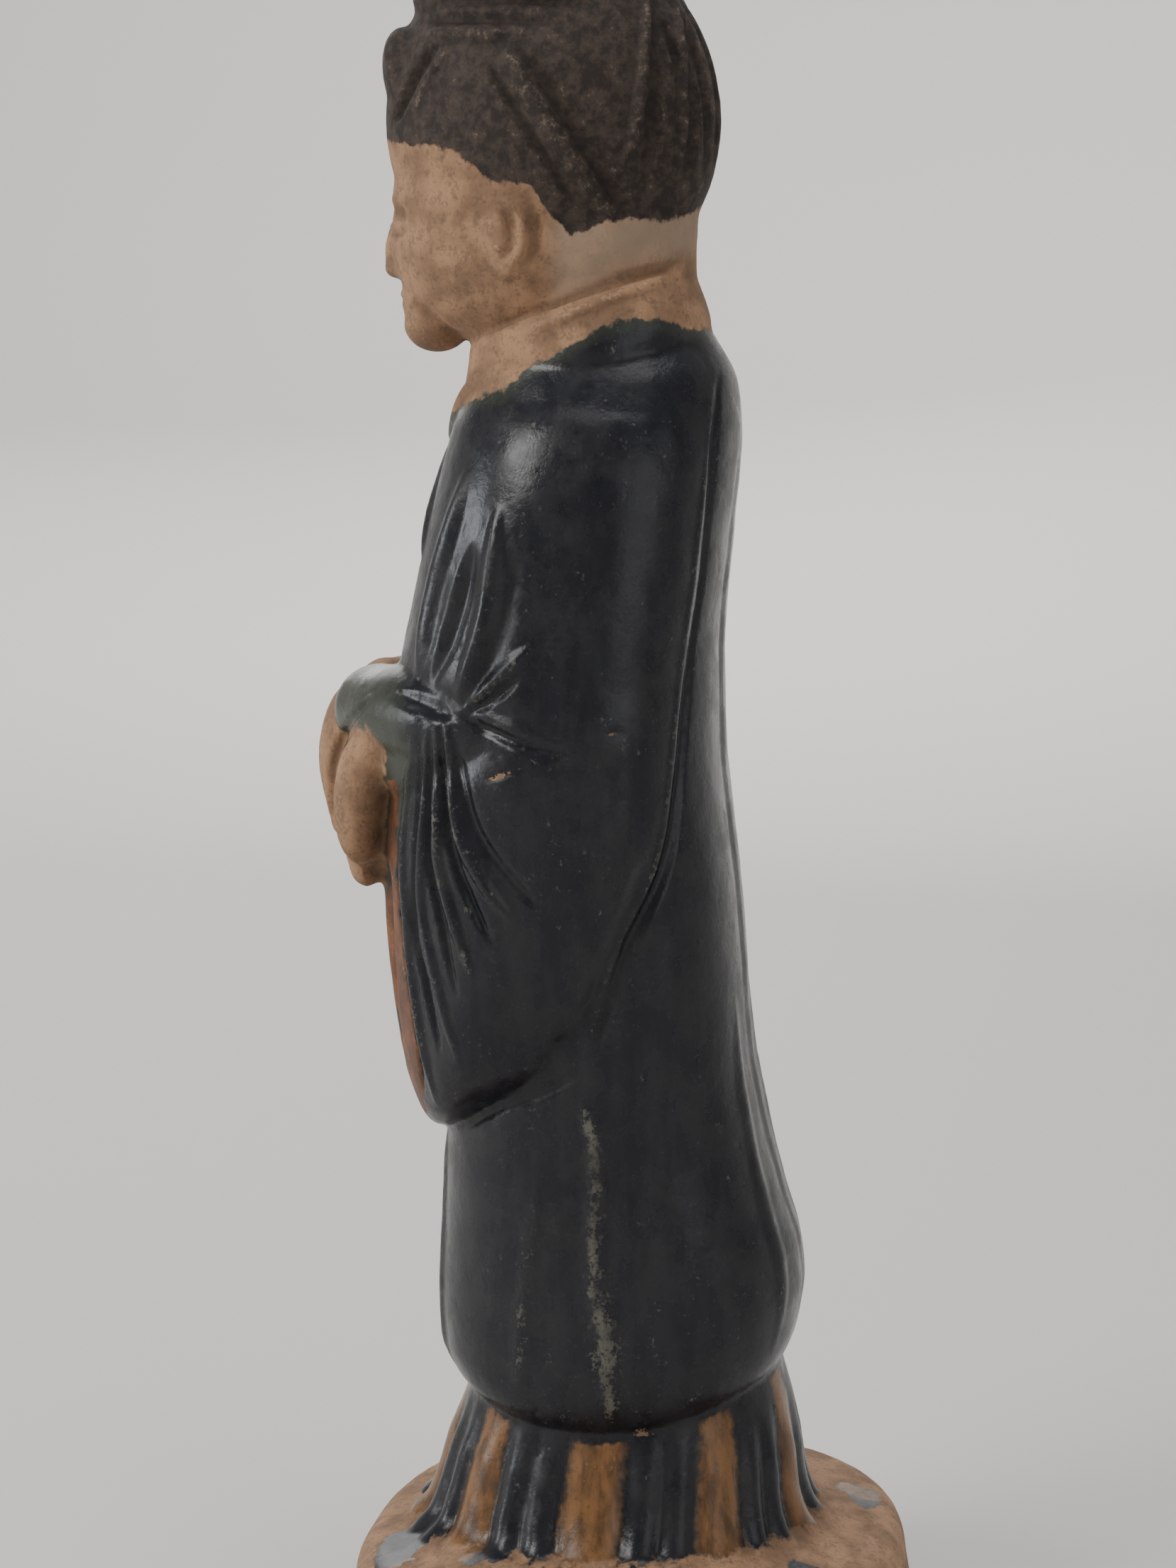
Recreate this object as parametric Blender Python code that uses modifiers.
"""Standing court attendant in lead glazed earthenware, fired in one piece with its plinth.

The figure faces -Y. The origin is the centre of the plinth's underside and +Z is up.
Solid forms are lofted and joined, fused into one skin, and then carved along curves.
"""

import math
from typing import NamedTuple

import bmesh
import bpy
import numpy as np
from mathutils import Euler, Matrix, Vector
from mathutils.bvhtree import BVHTree

# Driving sizes, in metres
PLINTH_HEIGHT = 0.022
PLINTH_DEPTH = 0.098
PLINTH_WIDTH = 0.112
PLINTH_FORWARD = 0.002
PLINTH_EDGE_RADIUS = 0.006
PLINTH_TAPER = 0.002
PLINTH_FOOT_HEIGHT = 0.003
PLINTH_CROWN = 0.008
PLINTH_SQUARENESS = 2.4
FIGURE_HEIGHT = 0.273

# The figure's own proportions are lengths on a figure 273 units tall, above the plinth
PROPORTION_HEIGHT = 273
UNIT = FIGURE_HEIGHT / PROPORTION_HEIGHT

# Resolution
LOFT_SIDES = 96
LOFT_ROW_STEP = 1.5 * UNIT
SKIN_CELL = 1.15 * UNIT
SKIN_SMOOTHING_ROUNDS = 3
TRIANGLE_BUDGET = 9600
STROKE_SAMPLES = 24
UNDERSIDE_ALLOWANCE = 3 * UNIT

NODE_NAME = "tomb_figure"
BISCUIT_COLOUR = (0.42, 0.26, 0.16, 1)
BISCUIT_ROUGHNESS = 0.85


class Section(NamedTuple):
    """One level cut: its height, its reach in Y, its half width and how square its two halves are."""

    height: float
    front: float
    back: float
    half_width: float
    front_squareness: float
    back_squareness: float


class Blob(NamedTuple):
    """One ellipsoid: centre, radii and turn about X, Y and Z in degrees."""

    centre: tuple
    radii: tuple
    turn: tuple = (0, 0, 0)


class Stroke(NamedTuple):
    """One carved line, as seen from an azimuth: its points, half width and rise, negative for a groove.

    Each point is how far right and how high it lies in that view. A paired stroke is carved on both sides.
    """

    azimuth: float
    points: tuple
    width: float
    rise: float
    fade: float = 0.15
    paired: bool = True


# Level cuts through each form, in figure units, heights above the plinth's top
ROBE = (
    Section(22.0, -27.0, 20.0, 21.0, 2.2, 2.2),
    Section(23.0, -30.5, 22.5, 25.0, 2.2, 2.2),
    Section(26.0, -33.0, 24.8, 27.6, 2.3, 2.3),
    Section(31.0, -34.4, 26.2, 28.8, 2.3, 2.3),
    Section(40.0, -34.8, 27.2, 29.4, 2.3, 2.3),
    Section(48.0, -34.5, 26.6, 29.2, 2.3, 2.3),
    Section(58.0, -34.0, 24.2, 28.8, 2.3, 2.3),
    Section(70.0, -33.6, 20.9, 28.2, 2.3, 2.4),
    Section(84.0, -33.0, 18.0, 28.2, 2.3, 2.5),
    Section(110.0, -33.0, 15.8, 28.8, 2.3, 2.6),
    Section(140.0, -34.0, 12.6, 29.0, 2.3, 2.7),
    Section(152.0, -38.5, 12.4, 29.0, 2.3, 2.6),
    Section(172.0, -35.4, 14.0, 28.2, 2.3, 2.4),
    Section(189.0, -32.0, 15.6, 25.4, 2.2, 2.2),
    Section(197.0, -30.5, 14.9, 21.2, 2.1, 2.2),
    Section(205.0, -29.6, 11.0, 15.4, 2.0, 2.0),
)
SLEEVES = (
    Section(71.5, -35.0, -30.0, 10.0, 2.0, 2.2),
    Section(73.5, -37.0, -27.0, 18.0, 1.8, 2.3),
    Section(77.5, -39.6, -19.8, 25.4, 1.7, 2.4),
    Section(85.0, -42.2, -6.5, 30.8, 1.7, 2.7),
    Section(94.0, -43.6, -1.8, 32.8, 1.7, 3.2),
    Section(107.0, -44.8, 3.8, 34.2, 1.7, 3.6),
    Section(122.0, -45.4, 8.8, 35.0, 1.7, 3.6),
    Section(131.0, -44.8, 9.9, 34.7, 1.7, 3.4),
    Section(139.5, -38.6, 10.2, 34.2, 1.8, 3.3),
    Section(144.0, -38.0, 10.4, 33.8, 1.9, 3.2),
    Section(149.0, -41.6, 10.8, 33.2, 2.0, 3.1),
    Section(160.0, -39.6, 11.8, 32.0, 2.0, 3.0),
    Section(180.0, -34.8, 13.9, 29.0, 2.2, 2.7),
    Section(190.0, -32.3, 14.4, 25.8, 2.2, 2.4),
    Section(199.0, -29.6, 12.4, 18.0, 2.2, 2.2),
)
SKIRT = (
    Section(-4.0, -40.8, 32.4, 37.4, 2.1, 2.1),
    Section(1.6, -40.0, 31.2, 36.0, 2.1, 2.1),
    Section(4.6, -37.2, 28.8, 32.8, 2.1, 2.1),
    Section(9.5, -35.2, 27.2, 30.2, 2.2, 2.2),
    Section(16.0, -33.4, 26.4, 28.2, 2.2, 2.2),
    Section(24.0, -30.8, 25.2, 26.2, 2.2, 2.2),
    Section(32.0, -29.0, 23.0, 24.6, 2.2, 2.2),
)
NECK = (
    Section(180.0, -28.0, 8.0, 16.0, 2.0, 2.0),
    Section(196.0, -29.4, 8.6, 15.2, 2.0, 2.0),
    Section(208.0, -29.0, 8.4, 14.8, 2.0, 2.0),
    Section(218.0, -28.0, 8.0, 14.8, 2.0, 2.0),
    Section(228.0, -26.0, 8.6, 15.0, 2.0, 2.0),
)

# The skirt's stripes: one wide pleat beside two narrow ones, all round
PLEAT_GROUPS = 9
WIDE_PLEAT_SHARE = 0.44
PLEAT_DEPTH = 1.8
PLEAT_TOP = 26.0
PLEAT_FADE = 10.0
HEM_FLARE = 0.6
HEM_FLARE_TOP = 14.0

# The robe's hem hangs lowest at the sides and is drawn up toward the front and the back
HEM_RISE_AT_FRONT = 9.0
HEM_RISE_AT_BACK = 11.0
HEM_RISE_TOP = 60.0
HEM_LOWEST_AT = -4.0
HEM_REACH_TO_FRONT = 30.0
HEM_REACH_TO_BACK = 27.0
HEM_FRONT_CURVE = 2.0
HEM_BACK_CURVE = 1.6

# The head, in figure units
HEAD_BLOBS = (
    Blob((0, -16.0, 240.0), (21.0, 28.0, 30.4)),
    Blob((0, -21.2, 221.6), (18.4, 22.2, 19.0), (6, 0, 0)),
    Blob((0, -20.0, 226.5), (19.2, 22.9, 10.0)),
    Blob((0, -9.0, 222.0), (17.0, 17.2, 15.0)),
    Blob((0, -17.5, 262.0), (17.6, 22.0, 11.0), (6, 0, 0)),
    Blob((0, -35.8, 206.8), (7.0, 5.6, 4.8)),
)
FACE_BLOBS = (
    Blob((0, -42.4, 219.8), (1.9, 2.3, 5.2), (-10, 0, 0)),
    Blob((0, -42.8, 216.0), (2.8, 2.1, 1.9)),
    Blob((0, -36.4, 211.0), (7.6, 5.4, 5.0)),
    Blob((0, -40.4, 211.6), (4.4, 1.7, 0.9)),
    Blob((0, -40.0, 209.6), (3.6, 1.7, 1.0)),
)
FORELOCK = Blob((3.6, -38.8, 246.2), (6.8, 4.6, 9.4), (12, 14, 0))
EAR = Blob((17.9, -20.5, 220.6), (2.1, 3.8, 6.9), (14, 0, 0))
COLLAR = (
    Section(-6.4, -20.4, 19.4, 19.0, 2.0, 2.0),
    Section(-4.0, -20.8, 20.2, 19.4, 2.0, 2.0),
    Section(0.0, -20.4, 20.4, 18.8, 2.0, 2.0),
    Section(4.2, -20.0, 20.2, 18.0, 2.0, 2.0),
    Section(5.6, -18.8, 19.2, 16.8, 2.0, 2.0),
)
COLLAR_TILT = 21.0
COLLAR_CENTRE = (0, -10.0, 204.6)

# Arms and hands: paths with a radius at each point; the right hand lies over the left
FOREARM = (((24, -10, 140), 8.0), ((23, -24, 141), 8.6), ((15, -37, 142), 8.4), ((5, -45, 142), 7.8))
FOREARM_SHAPE = (1, 1, 1)
FOREARM_DROP = (((22, -22, 134), 8.6), ((16, -33, 134.5), 8.4), ((8, -39.5, 135), 7.2))
LEFT_HAND = (((12, -42, 138), 5.8), ((11, -46, 131), 6.4), ((10, -47.4, 122), 5.8), ((8, -47, 116), 4.2))
RIGHT_HAND = (((-4, -46, 144.5), 5.4), ((-3, -50, 139), 6.6), ((-2, -52, 131), 5.6), ((-2, -51.8, 122), 4.4))
LEFT_HAND_SHAPE = (1.3, 0.78, 1.0)
RIGHT_HAND_SHAPE = (1.4, 0.95, 1.0)
BLOB_STEPS_ALONG_PATH = 14

# Carved lines, in figure units; the left side is seen a little from behind
FRONT, SIDE, BACK = 0, 100, 180
SLEEVE_FOLDS = (
    Stroke(SIDE, ((-39.4, 137), (-40.6, 118), (-39.0, 97), (-35.4, 79)), 1.5, 0.8),
    Stroke(SIDE, ((-41.0, 136), (-42.4, 118), (-41.0, 99), (-37.6, 80)), 1.5, -0.9),
    Stroke(SIDE, ((-39.4, 126), (-38.8, 111), (-34.8, 91)), 1.4, -0.8),
    Stroke(SIDE, ((-37.6, 136), (-37.5, 116), (-31.5, 88)), 1.6, 0.9),
    Stroke(SIDE, ((-37.0, 130), (-35.7, 119), (-33.0, 109)), 1.2, -0.7),
    Stroke(SIDE, ((-36.0, 140), (-34.3, 124), (-29.0, 105)), 1.5, 0.9),
    Stroke(SIDE, ((-34.6, 132), (-31.2, 123), (-24.6, 114)), 1.3, -0.9),
    Stroke(SIDE, ((-33.6, 141), (-29.6, 126), (-18.6, 113)), 1.7, 1.0),
    Stroke(SIDE, ((-31.0, 143), (-24.7, 140.8), (-15.0, 138)), 1.4, -0.6),
    Stroke(SIDE, ((-9.1, 121), (-10.5, 116), (-14.0, 111)), 2.4, -0.5),
    Stroke(SIDE, ((-11.3, 108), (-12.1, 97), (-16.0, 91)), 2.6, 0.5),
)
CHEST_FOLDS = (
    Stroke(SIDE, ((-30.0, 180), (-35.6, 163), (-38.2, 149)), 3.4, 1.4, fade=0.4),
    Stroke(SIDE, ((-27.5, 174), (-30.6, 160), (-34.4, 149)), 3.0, -1.3, fade=0.4),
    Stroke(SIDE, ((-24.5, 176), (-25.6, 162), (-30.6, 147)), 2.8, 1.2, fade=0.4),
    Stroke(SIDE, ((-18.0, 157), (-23.7, 151.5), (-29.0, 147)), 2.2, -0.8, fade=0.4),
    Stroke(SIDE, ((-42.0, 147), (-36.5, 145.6), (-31.0, 144)), 2.6, -1.3),
)
SLEEVE_EDGES = (
    Stroke(SIDE, ((11.4, 198), (9.2, 171), (4.6, 130), (-4.3, 105), (-9.4, 87)), 2.6, -1.2),
    Stroke(SIDE, ((-9.6, 86), (-21.5, 79.5), (-32.0, 72.5)), 2.0, -0.7),
    Stroke(FRONT, ((0.0, 130), (0.0, 100), (0.0, 73)), 3.4, -2.8, paired=False),
    Stroke(FRONT, ((11.5, 129), (12.5, 105), (10.0, 82)), 5.2, -2.2),
)
ROBE_LINES = (
    Stroke(SIDE, ((-10.8, 82), (-8.8, 70), (-9.1, 51), (-6.5, 27)), 1.6, 0.6),
    Stroke(SIDE, ((-18.5, 64), (-20.5, 47), (-22.0, 30)), 2.0, 0.4),
    Stroke(FRONT, ((-13.0, 199), (-1.0, 187), (12.0, 168)), 1.8, 0.9, paired=False),
    Stroke(FRONT, ((13.0, 199), (5.0, 191), (0.5, 187)), 1.8, 0.9, paired=False),
    Stroke(FRONT, ((7.0, 72), (9.0, 50), (10.0, 25)), 1.8, 0.6, paired=False),
)
HAIR_LINES = (
    Stroke(SIDE, ((-36.5, 253.6), (-29.3, 253.0), (-22.3, 252.7)), 1.1, 0.7),
    Stroke(SIDE, ((-34.0, 252.2), (-37.6, 247.6), (-41.8, 239.4)), 1.5, -1.7),
    Stroke(SIDE, ((-24.1, 251.4), (-13.3, 234.2), (-4.8, 223.0)), 2.0, 0.9),
    Stroke(SIDE, ((-21.0, 251.0), (-10.4, 234.8), (-3.4, 224.0)), 1.3, -0.9),
    Stroke(SIDE, ((0.3, 260.0), (-0.3, 247.0), (-3.1, 230.0)), 2.0, -1.1),
    Stroke(SIDE, ((3.9, 260.0), (5.9, 244.0), (5.0, 230.0)), 1.8, -1.0),
    Stroke(BACK, ((3.0, 262.0), (3.2, 246.0), (2.6, 229.0)), 1.8, -1.0),
)
FACE_LINES = (
    Stroke(FRONT, ((4.0, 222.4), (7.6, 221.8), (11.2, 223.0)), 1.3, -0.7),
    Stroke(FRONT, ((3.6, 226.4), (8.0, 227.6), (12.4, 225.8)), 1.6, 0.5),
    Stroke(FRONT, ((-4.4, 210.5), (0.0, 210.0), (4.4, 210.5)), 1.1, -0.8, paired=False),
    Stroke(SIDE, ((-24.2, 225.0), (-22.8, 221.2), (-24.2, 217.0)), 1.5, -0.8),
)
HAND_LINES = (
    Stroke(SIDE, ((-45.5, 146.5), (-50.8, 139), (-53.6, 130), (-53.8, 122)), 1.5, -0.9, paired=False),
    *(Stroke(FRONT, ((x, 137), (x, 128), (x + 0.6, 119)), 1.0, -0.7, paired=False) for x in (-6, -2.5, 1)),
)
STROKES = (*SLEEVE_FOLDS, *CHEST_FOLDS, *SLEEVE_EDGES, *ROBE_LINES, *HAIR_LINES, *FACE_LINES, *HAND_LINES)
VIEW_DISTANCE = 200


def figure_point(point):
    """Point of the figure in metres, from figure units above the plinth."""
    x, y, height = point
    return Vector((x * UNIT, y * UNIT, PLINTH_HEIGHT + height * UNIT))


def smooth_values(knots, values, at):
    """Values of a smooth curve through the knots, with slopes that never overshoot."""
    knots, values, at = (np.asarray(a, dtype=float) for a in (knots, values, at))
    spans = np.diff(knots)
    steps = np.diff(values) / spans
    slopes = np.empty_like(values)
    slopes[0], slopes[-1] = steps[0], steps[-1]
    product = steps[:-1] * steps[1:]
    middle = 2 * product / np.where(product > 0, steps[:-1] + steps[1:], 1)
    slopes[1:-1] = np.where(product > 0, middle, 0)
    left = np.clip(np.searchsorted(knots, at, side="right") - 1, 0, len(spans) - 1)
    share = (at - knots[left]) / spans[left]
    start, end = values[left], values[left + 1]
    rise_out, rise_in = slopes[left] * spans[left], slopes[left + 1] * spans[left]
    square, cube = share**2, share**3
    return (
        start * (2 * cube - 3 * square + 1)
        + end * (3 * square - 2 * cube)
        + rise_out * (cube - 2 * square + share)
        + rise_in * (cube - square)
    )


def section_outline(section, angles):
    """X and Y along one section's outline, with angle 0 at the front and 90 degrees at +X."""
    squareness = np.where(np.cos(angles) > 0, section.front_squareness, section.back_squareness)
    across = np.sign(np.sin(angles)) * np.abs(np.sin(angles)) ** (2 / squareness)
    along = -np.sign(np.cos(angles)) * np.abs(np.cos(angles)) ** (2 / squareness)
    middle = (section.front + section.back) / 2
    reach = (section.back - section.front) / 2
    return section.half_width * across, middle + reach * along


def sections_between(stations, step):
    """Sections at even heights on smooth curves through the stations."""
    table = np.array(stations)
    rows = max(len(stations), math.ceil((table[-1, 0] - table[0, 0]) / step) + 1)
    heights = np.linspace(table[0, 0], table[-1, 0], rows)
    columns = [smooth_values(table[:, 0], table[:, c], heights) for c in range(1, 6)]
    return [Section(*row) for row in zip(heights, *columns)]


def add_loft(bm, rings):
    """Close a tube of faces through rings of points, each ring in the same turning sense."""
    loops = [[bm.verts.new(point) for point in ring] for ring in rings]
    sides = len(loops[0])
    for low, high in zip(loops, loops[1:]):
        for i in range(sides):
            j = (i + 1) % sides
            bm.faces.new((low[i], low[j], high[j], high[i]))
    bm.faces.new(reversed(loops[0]))
    bm.faces.new(loops[-1])


def level_loft(bm, stations, placed, swell=None):
    """Loft level sections and place each point; swell moves an outline in or out by angle and height."""
    angles = np.linspace(0, 2 * math.pi, LOFT_SIDES * (2 if swell else 1), endpoint=False)
    rings = []
    for section in sections_between(stations, LOFT_ROW_STEP / UNIT):
        xs, ys = section_outline(section, angles)
        if swell:
            grow = 1 + swell(angles, section.height) / section.half_width
            middle = (section.front + section.back) / 2
            xs, ys = xs * grow, middle + (ys - middle) * grow
        rings.append([placed((x, y, section.height)) for x, y in zip(xs, ys)])
    add_loft(bm, rings)


def hem_lift(point):
    """Place a robe point, its hem drawn up toward the front and the back."""
    x, y, height = point
    low = max(0.0, 1 - height / HEM_RISE_TOP)
    toward_front = max(0.0, (HEM_LOWEST_AT - y) / HEM_REACH_TO_FRONT)
    toward_back = max(0.0, (y - HEM_LOWEST_AT) / HEM_REACH_TO_BACK)
    rise = HEM_RISE_AT_FRONT * toward_front**HEM_FRONT_CURVE + HEM_RISE_AT_BACK * toward_back**HEM_BACK_CURVE
    return figure_point((x, y, height + low * rise))


def pleat_swell(angles, height):
    """How far the skirt's pleats stand out, at each angle."""
    share = (angles * PLEAT_GROUPS / (2 * math.pi)) % 1
    wide = share < WIDE_PLEAT_SHARE
    narrow_share = (1 - WIDE_PLEAT_SHARE) / 2
    within = np.where(wide, share / WIDE_PLEAT_SHARE, (share - WIDE_PLEAT_SHARE) / narrow_share % 1)
    fade = min(1.0, max(0.0, (PLEAT_TOP - height) / PLEAT_FADE))
    flare = 1 + HEM_FLARE * max(0.0, 1 - height / HEM_FLARE_TOP)
    return PLEAT_DEPTH * fade * flare * (np.sqrt(np.sin(math.pi * within).clip(0)) - 0.6)


def collar_point(point):
    """Place a collar point, the band tipped up toward the nape."""
    tipped = Matrix.Rotation(math.radians(COLLAR_TILT), 3, "X") @ Vector(point)
    return figure_point(tipped + Vector(COLLAR_CENTRE))


def add_blob(bm, blob):
    """Add one ellipsoid."""
    turn = Euler([math.radians(a) for a in blob.turn]).to_matrix().to_4x4()
    scale = Matrix.Diagonal((*(r * UNIT for r in blob.radii), 1))
    place = Matrix.Translation(figure_point(blob.centre))
    ball = bmesh.new()
    bmesh.ops.create_uvsphere(ball, u_segments=40, v_segments=24, radius=1, matrix=place @ turn @ scale)
    mesh = bpy.data.meshes.new("ellipsoid")
    ball.to_mesh(mesh)
    ball.free()
    bm.from_mesh(mesh)
    bpy.data.meshes.remove(mesh)


def mirrored(blob):
    """The same ellipsoid on the other side of the figure."""
    x, y, z = blob.centre
    about_x, about_y, about_z = blob.turn
    return Blob((-x, y, z), blob.radii, (about_x, -about_y, -about_z))


def add_limb(bm, path, shape, side=1):
    """Add a limb as close set ellipsoids along a smooth path; shape stretches each in X, Y and Z."""
    knots = np.arange(len(path))
    at = np.linspace(0, len(path) - 1, BLOB_STEPS_ALONG_PATH)
    points = [smooth_values(knots, [p[0][axis] for p in path], at) for axis in range(3)]
    radii = smooth_values(knots, [p[1] for p in path], at)
    for x, y, z, radius in zip(*points, radii):
        add_blob(bm, Blob((side * x, y, z), tuple(radius * s for s in shape)))


def plinth_rings():
    """Rings of the plinth, straight sided with a rounded top edge and a low crown."""
    angles = np.linspace(0, 2 * math.pi, LOFT_SIDES, endpoint=False)
    inset_and_height = [(0, -UNDERSIDE_ALLOWANCE), (0, PLINTH_FOOT_HEIGHT)]
    for turn in np.radians(range(0, 91, 15)):
        inset = PLINTH_TAPER + PLINTH_EDGE_RADIUS * (1 - math.cos(turn))
        inset_and_height.append((inset, PLINTH_HEIGHT - PLINTH_EDGE_RADIUS * (1 - math.sin(turn))))
    shoulder = PLINTH_TAPER + PLINTH_EDGE_RADIUS
    top_reach = min(PLINTH_WIDTH, PLINTH_DEPTH) / 2 - shoulder
    for share in (0.3, 0.5, 0.7, 0.9):
        rise = PLINTH_CROWN * math.sin(share * math.pi / 2)
        inset_and_height.append((shoulder + share * top_reach, PLINTH_HEIGHT + rise))
    rings = []
    for inset, height in inset_and_height:
        half_depth = PLINTH_DEPTH / 2 - inset
        half_width = PLINTH_WIDTH / 2 - inset
        front = -PLINTH_FORWARD - half_depth
        back = -PLINTH_FORWARD + half_depth
        section = Section(height, front, back, half_width, PLINTH_SQUARENESS, PLINTH_SQUARENESS)
        rings.append([Vector((x, y, height)) for x, y in zip(*section_outline(section, angles))])
    return rings


def joined_forms():
    """Every solid form of the figure in one mesh, still overlapping."""
    bm = bmesh.new()
    add_loft(bm, plinth_rings())
    level_loft(bm, SKIRT, figure_point, pleat_swell)
    level_loft(bm, ROBE, hem_lift)
    level_loft(bm, SLEEVES, figure_point)
    level_loft(bm, NECK, figure_point)
    level_loft(bm, COLLAR, collar_point)
    for blob in (*HEAD_BLOBS, *FACE_BLOBS, FORELOCK, mirrored(FORELOCK), EAR, mirrored(EAR)):
        add_blob(bm, blob)
    add_limb(bm, FOREARM, FOREARM_SHAPE)
    add_limb(bm, FOREARM, FOREARM_SHAPE, side=-1)
    add_limb(bm, FOREARM_DROP, FOREARM_SHAPE)
    add_limb(bm, FOREARM_DROP, FOREARM_SHAPE, side=-1)
    add_limb(bm, LEFT_HAND, LEFT_HAND_SHAPE)
    add_limb(bm, RIGHT_HAND, RIGHT_HAND_SHAPE)
    bmesh.ops.recalc_face_normals(bm, faces=bm.faces)
    mesh = bpy.data.meshes.new(NODE_NAME)
    bm.to_mesh(mesh)
    bm.free()
    return mesh


def evaluated_mesh(obj):
    """The object's mesh with its modifiers applied."""
    return bpy.data.meshes.new_from_object(obj.evaluated_get(bpy.context.evaluated_depsgraph_get()))


def fuse(obj):
    """Turn overlapping forms into one skin, softened where they meet."""
    remesh = obj.modifiers.new("one skin", "REMESH")
    remesh.mode = "VOXEL"
    remesh.voxel_size = SKIN_CELL
    smooth = obj.modifiers.new("soft joins", "SMOOTH")
    smooth.factor = 0.5
    smooth.iterations = SKIN_SMOOTHING_ROUNDS
    fused = evaluated_mesh(obj)
    obj.modifiers.clear()
    obj.data = fused


def stroke_path(tree, stroke, side):
    """Points along a stroke where it lies on the skin, on the left (side 1) or the right (side -1)."""
    azimuth = math.radians(stroke.azimuth)
    outward = Vector((side * math.sin(azimuth), -math.cos(azimuth), 0))
    rightward = Vector((side * math.cos(azimuth), math.sin(azimuth), 0))
    knots = np.arange(len(stroke.points))
    at = np.linspace(0, len(stroke.points) - 1, STROKE_SAMPLES)
    across, heights = (smooth_values(knots, values, at) for values in zip(*stroke.points))
    path = []
    for right, height in zip(across, heights):
        start = figure_point(rightward * right + outward * VIEW_DISTANCE + Vector((0, 0, height)))
        hit = tree.ray_cast(start, -outward)[0]
        if hit is not None:
            path.append(hit)
    return np.array(path)


def nearest_on_path(points, path):
    """Distance from each point to a path, and how far along the path it is, from 0 to 1."""
    best = np.full(len(points), np.inf)
    along = np.zeros(len(points))
    spans = len(path) - 1
    for i in range(spans):
        line = path[i + 1] - path[i]
        share = np.clip((points - path[i]) @ line / max(line @ line, 1e-12), 0, 1)
        distance = np.linalg.norm(points - path[i] - share[:, None] * line, axis=1)
        closer = distance < best
        best[closer] = distance[closer]
        along[closer] = (i + share[closer]) / spans
    return best, along


def carve(mesh, strokes):
    """Move the skin along its normals where strokes rise or sink."""
    count = len(mesh.vertices)
    points, normals = np.empty(count * 3), np.empty(count * 3)
    mesh.vertices.foreach_get("co", points)
    mesh.vertices.foreach_get("normal", normals)
    points, normals = points.reshape(-1, 3), normals.reshape(-1, 3)
    tree = BVHTree.FromPolygons(points.tolist(), [p.vertices[:] for p in mesh.polygons])
    moves = np.zeros(count)
    for stroke in strokes:
        for side in (1, -1) if stroke.paired else (1,):
            path = stroke_path(tree, stroke, side)
            if len(path) < 2:
                continue
            width = stroke.width * UNIT
            near = np.all((points > path.min(0) - width) & (points < path.max(0) + width), axis=1)
            distance, along = nearest_on_path(points[near], path)
            body = (1 - np.clip(distance / width, 0, 1) ** 2) ** 2
            ends = np.clip(np.minimum(along, 1 - along) / stroke.fade, 0, 1)
            moves[near] += stroke.rise * UNIT * body * ends * (2 - ends)
    mesh.vertices.foreach_set("co", (points + normals * moves[:, None]).ravel())
    mesh.update()


def thin_out(obj):
    """Bring the mesh down to its triangle budget."""
    obj.data.calc_loop_triangles()
    decimate = obj.modifiers.new("thin out", "DECIMATE")
    decimate.ratio = TRIANGLE_BUDGET / len(obj.data.loop_triangles)
    thinned = evaluated_mesh(obj)
    obj.modifiers.clear()
    obj.data = thinned


def cut_underside(mesh):
    """Cut the plinth off flat where it stands."""
    bm = bmesh.new()
    bm.from_mesh(mesh)
    everything = [*bm.verts, *bm.edges, *bm.faces]
    up = (0, 0, 1)
    cut = bmesh.ops.bisect_plane(bm, geom=everything, plane_co=(0, 0, 0), plane_no=up, clear_inner=True)
    rim = [e for e in cut["geom_cut"] if isinstance(e, bmesh.types.BMEdge)]
    bmesh.ops.holes_fill(bm, edges=rim, sides=0)
    bmesh.ops.triangulate(bm, faces=bm.faces)
    bm.to_mesh(mesh)
    bm.free()


def biscuit():
    """Plain fired clay."""
    material = bpy.data.materials.new("fired clay")
    material.use_nodes = True
    shader = material.node_tree.nodes["Principled BSDF"]
    shader.inputs["Base Color"].default_value = BISCUIT_COLOUR
    shader.inputs["Roughness"].default_value = BISCUIT_ROUGHNESS
    shader.inputs["Metallic"].default_value = 0
    return material


def main():
    """Build the figure."""
    for obj in list(bpy.data.objects):
        bpy.data.objects.remove(obj)
    figure = bpy.data.objects.new(NODE_NAME, joined_forms())
    collection = bpy.data.collections.new("sancai tomb figure")
    bpy.context.scene.collection.children.link(collection)
    collection.objects.link(figure)
    fuse(figure)
    carve(figure.data, STROKES)
    thin_out(figure)
    cut_underside(figure.data)
    figure.data.materials.clear()
    figure.data.materials.append(biscuit())
    figure.data.shade_smooth()


main()
